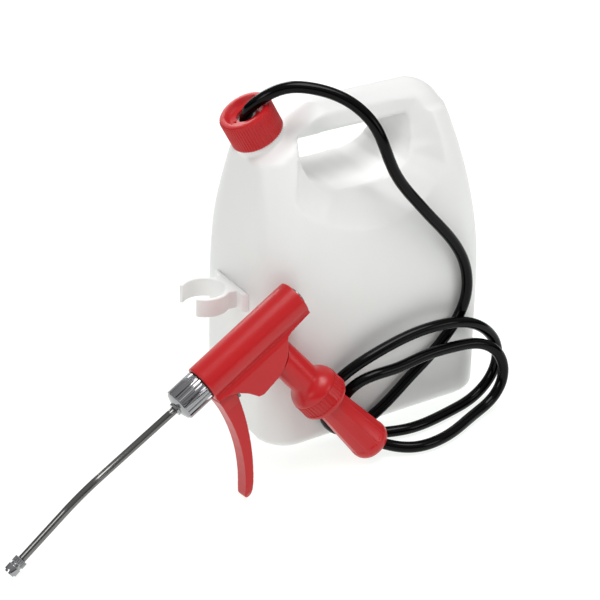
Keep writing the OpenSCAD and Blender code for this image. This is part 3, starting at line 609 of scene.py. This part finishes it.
@dataclass
class Hose:
    """The vinyl hose from the gland in the neck to the barb in the grip.

    Its route repeats the source's points: an arc out of the cap's hole, the free
    run down the broad face and twice round behind the grip, and an arc home.

    Attributes:
        diameter: Its outer width.
        turn: Direction round the neck's axis that the top arc bends to, in degrees.
        top_radius: Radius of the arc out of the cap's hole.
        top_angles: Places of the points on that arc, in degrees.
        hole_angle: Place on that arc where it crosses the neck's axis.
        hole_mid: Height of that crossing over the neck's foot.
        foot_radius: Radius of the arc into the grip.
        foot_angles: Places of the points on that arc, in degrees.
        foot_turn: Direction round the stem's axis that the foot arc comes from.
        barb_end: Distance from the barrel to the barb's end, down the stem.
        step_mm: Distance between the smooth line's points.
        easing: Times that the line's kinks are eased out.
        held_start: Points at the cap's end that the easing leaves in place.
        held_end: Points at the barb's end that the easing leaves in place.
        free_run: Points between the two arcs.
    """

    diameter: float = 9.5
    turn: float = -37.0
    top_radius: float = 33.0
    top_angles: tuple[float, ...] = (0, 20, 40, 62, 86)
    hole_angle: float = 40.0
    hole_mid: float = 26.3
    foot_radius: float = 46.0
    foot_angles: tuple[float, ...] = (48, 30, 14, 0)
    foot_turn: float = 45.0
    barb_end: float = 128.0
    step_mm: float = 3.5
    easing: int = 14
    held_start: int = 12
    held_end: int = 8
    free_run: list[Point] = field(default_factory=lambda: [
        (-66.5, -20.5, 305), (-48, -30.5, 303), (-31, -41.5, 297), (-17.5, -53, 286),
        (-8, -61.5, 270.5), (-2.5, -65.5, 252), (5, -66, 233.5), (16, -66.5, 216.5),
        (28, -67.5, 202), (41, -68, 186), (54, -68, 171.5), (66.5, -68.5, 155.5), (76, -69, 138),
        (81, -69, 119), (80, -69, 99), (71.5, -68.5, 81), (58.5, -68, 65.5), (43, -68.5, 52.5),
        (26.5, -69, 41.5), (10.5, -69.5, 29), (-6.5, -68.5, 15.5), (-26.5, -67.5, 5.5),
        (-45.5, -68.5, 8.5), (-59, -69.5, 21.5), (-62, -70.5, 40.5), (-52.5, -72, 59.5),
        (-34.5, -76, 72.5), (-15, -77.5, 80), (5, -77.5, 85), (25.5, -78, 88.5), (45.5, -80, 90),
        (65, -81, 88), (83.5, -80.5, 80.5), (99, -79.5, 67.5), (109, -79, 51), (109, -79.5, 31.5),
        (98.5, -79.5, 14.5), (81.5, -81.5, 6), (61.5, -86, 5.5), (43.5, -89.5, 5.5),
        (23.5, -92.5, 5.5), (5, -92.5, 6), (-11.5, -86, 5.5), (-29.5, -79.5, 6.5), (-43.5, -76, 16),
        (-50, -75.5, 31.5), (-47.5, -77.5, 48), (-36, -82, 61), (-17.5, -85.5, 65),
        (2.5, -84.5, 63.5), (22.5, -83.5, 66.5), (42.5, -83.5, 67.5), (62, -84, 66.5),
        (81.5, -86, 65.5), (99.5, -89.5, 56), (107.5, -92.5, 39), (104.5, -94.5, 21.5),
        (92, -96.5, 9), (75, -100, 5.5), (57.5, -108, 6), (39, -115.5, 5.5), (19.5, -120, 5.5),
        (0, -119.5, 5.5),
    ])

    def arc_start(self) -> tuple[float, float]:
        """Returns the top arc's start, out from the neck's axis and up it."""
        out = -self.top_radius * (1 - cos_d(self.hole_angle))
        return out, self.hole_mid - self.top_radius * sin_d(self.hole_angle)

    def over_neck(self, out: float, up: float) -> Vector:
        """Returns a point over the neck, out towards the hose's side and up its axis."""
        x, y = out * cos_d(self.turn), out * sin_d(self.turn)
        across, rise = cos_d(NECK_TILT), sin_d(NECK_TILT)
        return Vector((
            NECK_FOOT[0] + x * across - up * rise,
            y,
            NECK_FOOT[2] + x * rise + up * across,
        ))

    def top_bend(self, angle: float) -> Vector:
        """Returns a point on the arc out of the cap's hole."""
        out, up = self.arc_start()
        return self.over_neck(
            out + self.top_radius * (1 - cos_d(angle)), up + self.top_radius * sin_d(angle)
        )

    def route(self, gun: GunFrame) -> list[Vector]:
        """Lists the route's points in millimetres.

        Args:
            gun: The gun's own frame.

        Returns:
            The points from the gland to the barb.
        """
        out, up = self.arc_start()
        points = [self.over_neck(out, up - self.diameter)]
        points += [self.top_bend(angle) for angle in self.top_angles]
        points += [Vector(p) for p in self.free_run]
        foot = self.barb_end + self.diameter
        for angle in self.foot_angles:
            aside = self.foot_radius * (1 - cos_d(angle))
            along = foot + self.foot_radius * sin_d(angle)
            points.append(gun.stem_point(aside, along, self.foot_turn))
        return points + [gun.stem_point(0.0, self.barb_end, self.foot_turn)]

    def smooth_run(self, points: list[Vector]) -> list[Vector]:
        """Runs a smooth line through the route's points.

        Args:
            points: The route.

        Returns:
            Points a few millimetres apart.
        """
        last = len(points) - 1
        line: list[Vector] = []
        for i in range(last):
            a, b, c, d = points[max(i - 1, 0)], points[i], points[i + 1], points[min(i + 2, last)]
            count = max(1, round((c - b).length / self.step_mm))
            for k in range(count):
                t = k / count
                line.append(0.5 * (2 * b + (c - a) * t + (2 * a - 5 * b + 4 * c - d) * t**2
                                   + (3 * b - a - 3 * c + d) * t**3))
        line.append(points[last])
        free = range(self.held_start, len(line) - self.held_end)
        for _ in range(self.easing):
            eased = [(line[i - 1] + 2 * line[i] + line[i + 1]) / 4 for i in free]
            line[free.start : free.stop] = eased
        return line

    def build(self, gun: GunFrame) -> bpy.types.Object:
        """Args:
            gun: The gun's own frame.

        Returns:
            The hose.
        """
        line = self.smooth_run(self.route(gun))
        data = bpy.data.curves.new("hose", "CURVE")
        data.dimensions = "3D"
        data.bevel_depth = self.diameter / 2 * MM
        data.bevel_resolution = 7
        data.use_fill_caps = True
        spline = data.splines.new("POLY")
        spline.points.add(len(line) - 1)
        for node, point in zip(spline.points, line):
            node.co = (*(point * MM), 1.0)
        spline.use_smooth = True
        hose = bpy.data.objects.new("hose_line", data)
        bpy.context.scene.collection.objects.link(hose)
        data.materials.append(HOSE.material())
        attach(hose, "can")
        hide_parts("hose")
        return hose


@dataclass
class GunFrame:
    """The gun's own frame: rearwards along the barrel, across, and up.

    Its sizes repeat the source's.

    Attributes:
        foot_y: The can's Y that its plane stands on at the floor.
        lean: Lean of that plane towards the can, in degrees.
        pitch: Rise of the barrel to the rear, in degrees.
        x: The frame's origin along the plane.
        z: The frame's origin up the plane.
        stem_tilt: Angle of the stem to the barrel's upright, in degrees.
        stem_top_x: Place of the stem's axis on the barrel.
    """

    foot_y: float = -103.0
    lean: float = 11.0
    pitch: float = 28.2
    x: float = -180.15
    z: float = 105.7
    stem_tilt: float = 9.8
    stem_top_x: float = 58.5

    def world(self, x: float, y: float, z: float) -> Vector:
        """Turns a point of the gun's frame into the can's, in millimetres."""
        u = self.x + x * cos_d(self.pitch) - z * sin_d(self.pitch)
        v = self.z + x * sin_d(self.pitch) + z * cos_d(self.pitch)
        return Vector((
            u,
            self.foot_y + v * sin_d(self.lean) + y * cos_d(self.lean),
            v * cos_d(self.lean) - y * sin_d(self.lean),
        ))

    def stem_point(self, out: float, along: float, turn: float) -> Vector:
        """Returns a point beside the stem's axis.

        Args:
            out: Distance from the axis.
            along: Distance down the stem from the barrel.
            turn: Direction of that distance round the axis, in degrees.

        Returns:
            The point in the can's frame, in millimetres.
        """
        back = out * cos_d(turn)
        return self.world(
            self.stem_top_x + along * sin_d(self.stem_tilt) + back * cos_d(self.stem_tilt),
            -out * sin_d(turn),
            -along * cos_d(self.stem_tilt) + back * sin_d(self.stem_tilt),
        )


# ---------------------------------------------------------------- can


@dataclass
class Can:
    """The blow-moulded can with its through handle, and the gun's clip on it.

    Attributes:
        length: Its length over the base.
        thick: Its thickness between the broad faces.
        height: Its height to the top.
        corner: Radius of its upright corners.
        base_round: Radius of the edge round its base.
        lean_from: Height from which the narrow face leans in.
        lean_rate: How far it leans in for each millimetre of height.
        brow_from: Height from which it leans in more.
        brow_rate: How far it then leans in besides.
        shoulder: A point (x, z) on the slope that the neck stands on.
        back_from: Height from which the far end curves in.
        back_bend: Radius of that curve.
        top_corner: Radius of the far end's top corner.
        side_from: Height from which the broad faces curve in.
        side_bend: Radius of that curve.
        crown_from: Height from which the top is round.
        crown: Radius of the round top.
        lip_depth: Depth of the hollowed lip round the grip hole.
        lip_over: How far the lip's cutter starts outside the broad face.
        hole_reach: How far the hole's cutter goes to either side.
        lip_reach: How far the lips' cutters go.
        neck_radius: Radius of the neck.
        neck_low: Height of the neck's root, inside the shoulder.
        neck_high: Height of the neck's rim over its foot.
        collar: How much wider the collar is, and the heights of its two ends.
        voxel_mm: Grid of the moulded skin.
        smoothing: Smoothing steps on it.
        hole: The grip hole's outline as (x, distance below the top).
        lip: The lip's outline in the same way.
    """

    length: float = 215.0
    thick: float = 125.0
    height: float = 280.0
    corner: float = 25.0
    base_round: float = 9.0
    lean_from: float = 60.0
    lean_rate: float = 0.041
    brow_from: float = 182.0
    brow_rate: float = 0.0615
    shoulder: tuple[float, float] = (-95.0, 248.0)
    back_from: float = 100.0
    back_bend: float = 700.0
    top_corner: float = 25.0
    side_from: float = 120.0
    side_bend: float = 310.0
    crown_from: float = 260.0
    crown: float = 28.0
    lip_depth: float = 11.0
    lip_over: float = 0.6
    hole_reach: float = 70.0
    lip_reach: float = 78.0
    neck_radius: float = 18.5
    neck_low: float = -8.0
    neck_high: float = 21.3
    collar: tuple[float, float, float] = (2.2, 1.5, 4.5)
    voxel_mm: float = 1.7
    smoothing: int = 2
    hole: list[tuple[float, float]] = field(default_factory=lambda: [
        (-57.5, 41), (-58, 31), (-58, 21.5), (-48, 21.5), (-34, 21.5), (-14, 21.5), (8, 21.5), (32, 21.5),
        (47.5, 21.5), (48, 30), (46.5, 42), (43, 49), (38, 55.5), (28, 61.5), (14, 65), (0, 66),
        (-14, 66.3), (-30, 65.3), (-44, 61), (-53, 52.5),
    ])
    lip: list[tuple[float, float]] = field(default_factory=lambda: [
        (-74.5, 65), (-69, 46), (-63, 26), (-58, 10), (-40, 6.8), (-18, 5.9), (9, 5.7), (30, 6),
        (57, 8), (67, 21), (70, 43), (71, 62), (60, 74), (46, 86), (30, 94), (9.5, 99.5),
        (-16, 98.5), (-41, 91), (-59, 80), (-69, 72.5),
    ])

    def inset(self, z: float) -> float:
        """Returns how far the rounded base draws in at a height."""
        r = self.base_round
        return r - math.sqrt(max(0.0, r * r - (r - z) ** 2)) if z < r else 0.0

    def left(self, z: float) -> float:
        """Returns the narrow face's place at a height."""
        lean = self.lean_rate * max(0, z - self.lean_from)
        brow = self.brow_rate * max(0, z - self.brow_from)
        slope_x, slope_z = self.shoulder
        slope = slope_x + (z - slope_z) / math.tan(math.radians(NECK_TILT))
        return max(-self.length / 2 + self.inset(z) + lean + brow, slope)

    def right(self, z: float) -> float:
        """Returns the far end's place at a height."""
        bend = max(0, z - self.back_from) ** 2 / (2 * self.back_bend)
        drop = max(0.0, z - (self.height - self.top_corner))
        corner = self.top_corner - math.sqrt(self.top_corner**2 - drop**2)
        return self.length / 2 - self.inset(z) - bend - corner

    def half(self, z: float) -> float:
        """Returns half the can's thickness at a height."""
        if z > self.crown_from:
            return math.sqrt(max(1.0, self.crown**2 - (z - (self.height - self.crown)) ** 2))
        bend = max(0, z - self.side_from) ** 2 / (2 * self.side_bend)
        return self.thick / 2 - self.inset(z) - bend

    def ring(self, z: float) -> list[Point]:
        """Lists one level's round rectangle.

        Args:
            z: The height.

        Returns:
            Its points, anticlockwise from above.
        """
        x0, x1, half = self.left(z), self.right(z), self.half(z)
        c = min(self.corner, half - 0.5, (x1 - x0) / 2 - 0.5)
        corners = (
            (x1 - c, half - c, 0),
            (x0 + c, half - c, 90),
            (x0 + c, c - half, 180),
            (x1 - c, c - half, 270),
        )
        return [
            (x + c * cos_d(turn + a), y + c * sin_d(turn + a), z)
            for x, y, turn in corners
            for a in range(0, 91, 6)
        ]

    def shell(self) -> bmesh.types.BMesh:
        """Lofts the can's outer form, with close levels at the base and the top."""
        base = [0, 0.6, 1.2, 2.2, 3.5, 5, 7, 9, 30, 60]
        top = [258, 260, 263, 266, 269, 272, 274, 276, 278, 279, 279.6]
        return loft([self.ring(z) for z in [*base, *range(66, 258, 6), *top]])

    def side(
        self, outline: list[tuple[float, float]], depth: Callable[[float], float]
    ) -> list[Point]:
        """Stands a side outline up at a depth that follows the height.

        Args:
            outline: Points as (x, distance below the top).
            depth: Gives Y for a height.

        Returns:
            The ring's points.
        """
        return [(x, depth(self.height - down), self.height - down) for x, down in outline]

    def hole_cutter(self) -> bpy.types.Object:
        """Builds the cutter of the grip hole."""
        rings = [self.side(self.hole, lambda z, y=y: y) for y in (-self.hole_reach, self.hole_reach)]
        return as_object(loft(rings), "hole cutter")

    def lip_cutter(self, face: int) -> bpy.types.Object:
        """Builds the cutter of the hollowed lip on one broad face.

        Args:
            face: 1 for the face on the side of +Y and -1 for the other.

        Returns:
            The cutter.
        """
        rings = [
            self.side(self.hole, lambda z: face * (self.half(z) - self.lip_depth)),
            self.side(self.lip, lambda z: face * (self.half(z) + self.lip_over)),
            self.side(self.lip, lambda z: face * self.lip_reach),
        ]
        return as_object(loft(rings), "lip cutter")

    def neck(self) -> bpy.types.Object:
        """Builds the neck and its collar, which stand square on the shoulder."""
        wider, collar_low, collar_high = self.collar
        bm = bmesh.new()
        for radius, low, high in (
            (self.neck_radius, self.neck_low, self.neck_high),
            (self.neck_radius + wider, collar_low, collar_high),
        ):
            made = bmesh.ops.create_cone(
                bm,
                cap_ends=True,
                segments=96,
                radius1=radius * MM,
                radius2=radius * MM,
                depth=(high - low) * MM,
            )
            bmesh.ops.translate(bm, verts=made["verts"], vec=(0, 0, (high + low) / 2 * MM))
        foot = Matrix.Translation([c * MM for c in NECK_FOOT])
        tilt = Matrix.Rotation(math.radians(-NECK_TILT), 4, "Y")
        bmesh.ops.transform(bm, matrix=foot @ tilt, verts=bm.verts)
        return as_object(bm, "neck")

    def build(self) -> None:
        """Moulds the can in one skin and dresses the clip."""
        body = as_object(self.shell(), "can form")
        helpers = [self.hole_cutter(), self.lip_cutter(1), self.lip_cutter(-1)]
        for helper in helpers:
            cut = body.modifiers.new("cut", "BOOLEAN")
            cut.operation = "DIFFERENCE"
            cut.object = helper
            cut.solver = "EXACT"
        neck = self.neck()
        join = body.modifiers.new("join", "BOOLEAN")
        join.operation = "UNION"
        join.object = neck
        join.solver = "EXACT"
        join.use_self = True
        joined = evaluated(body, "can skin")
        for helper in [body, neck, *helpers]:
            bpy.data.objects.remove(helper)
        skin = melted(joined, self.voxel_mm, self.smoothing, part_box("tank"))
        finish_piece(skin, "can_skin", "can", CAN, ["tank"])
        Softened("gun_clip", "can", "clip", CLIP, 0.9, 3, 40.0).build()


# ---------------------------------------------------------------- closure, gun, lance, grip


@dataclass
class Assembly:
    """A sub-assembly whose parts are all dressed in the same way.

    Attributes:
        parts: Its parts, each with its node, body, slot and finish.
    """

    parts: list[Softened]

    def build(self) -> None:
        """Dresses each part."""
        for part in self.parts:
            part.build()


@dataclass
class Closure(Assembly):
    """The screw cap, its gasket, the hose gland and the suction line."""

    parts: list[Softened] = field(default_factory=lambda: [
        Softened("cap", "cap", "red", RED_CAP, 0.35, 2, 30.0),
        Softened("cap_gasket", "cap_lift", "seal", SEAL, 0.2),
        Softened("hose_gland", "can", "gland", GLAND, 0.2),
        Softened("suction_tube", "can", "natural", NATURAL, 0.2),
        Softened("strainer", "can", "gland", GLAND, 0.2),
    ])


@dataclass
class Gun(Assembly):
    """The pump gun: housing, pump, valves and trigger."""

    parts: list[Softened] = field(default_factory=lambda: [
        Softened("gun_housing", "can", "red", RED, 0.7, 3, 28.0, melt_mm=0.6, easing=18),
        Softened("pump_body", "can", "red", RED, 0.4, 2, 30.0),
        Softened("barrel_plug", "can", "steel", STEEL, 0.25),
        Softened("front_seal", "can", "seal", SEAL, 0.3),
        Softened("trigger", "trigger", "red", RED, 0.9, 3, 28.0, melt_mm=0.4, easing=14),
        Softened("trigger_pins", "can", "steel", STEEL, 0.2),
        Softened("piston", "piston", "steel", STEEL, 0.2),
        Softened("piston_seal", "piston", "seal", SEAL, 0.0),
        Softened("piston_bush", "can", "natural", NATURAL, 0.2),
        Softened("return_spring", "can", "steel", STEEL, 0.0),
        Softened("intake_seat", "can", "brass", BRASS, 0.2),
        Softened("intake_ball", "intake_ball", "steel", STEEL, 0.0),
        Softened("outlet_ball", "outlet_ball", "steel", STEEL, 0.0),
        Softened("outlet_spring", "can", "steel", STEEL, 0.0),
    ])


@dataclass
class Lance(Assembly):
    """The chromed nut, the bent steel lance and its nozzle."""

    parts: list[Softened] = field(default_factory=lambda: [
        Softened("lance_nut", "lance_nut", "chrome", CHROME, 0.25, 2, 30.0),
        Softened("lance_washer", "can", "seal", SEAL, 0.15),
        Softened("lance_tube", "lance", "steel", STEEL, 0.25, 2, 50.0),
        Softened("nozzle", "nozzle", "chrome", CHROME, 0.2, 2, 30.0),
        Softened("swirl_core", "nozzle", "brass", BRASS, 0.1),
    ])


@dataclass
class Grip(Assembly):
    """The union ring, the flared grip and the barb inside it."""

    parts: list[Softened] = field(default_factory=lambda: [
        Softened("union_ring", "union_ring", "red", RED, 0.35, 2, 30.0),
        Softened("grip", "can", "red", RED, 0.5, 2, 24.0),
        Softened("grip_gasket", "can", "seal", SEAL, 0.2),
        Softened("hose_barb", "can", "brass", BRASS, 0.15),
    ])


def main() -> None:
    """Builds the surroundings and every sub-assembly."""
    logging.basicConfig(level=logging.INFO, format="%(name)s %(message)s")
    Studio().build()
    Hose().build(GunFrame())
    for assembly in (Can(), Closure(), Gun(), Lance(), Grip()):
        assembly.build()


if __name__ == "__main__":
    main()
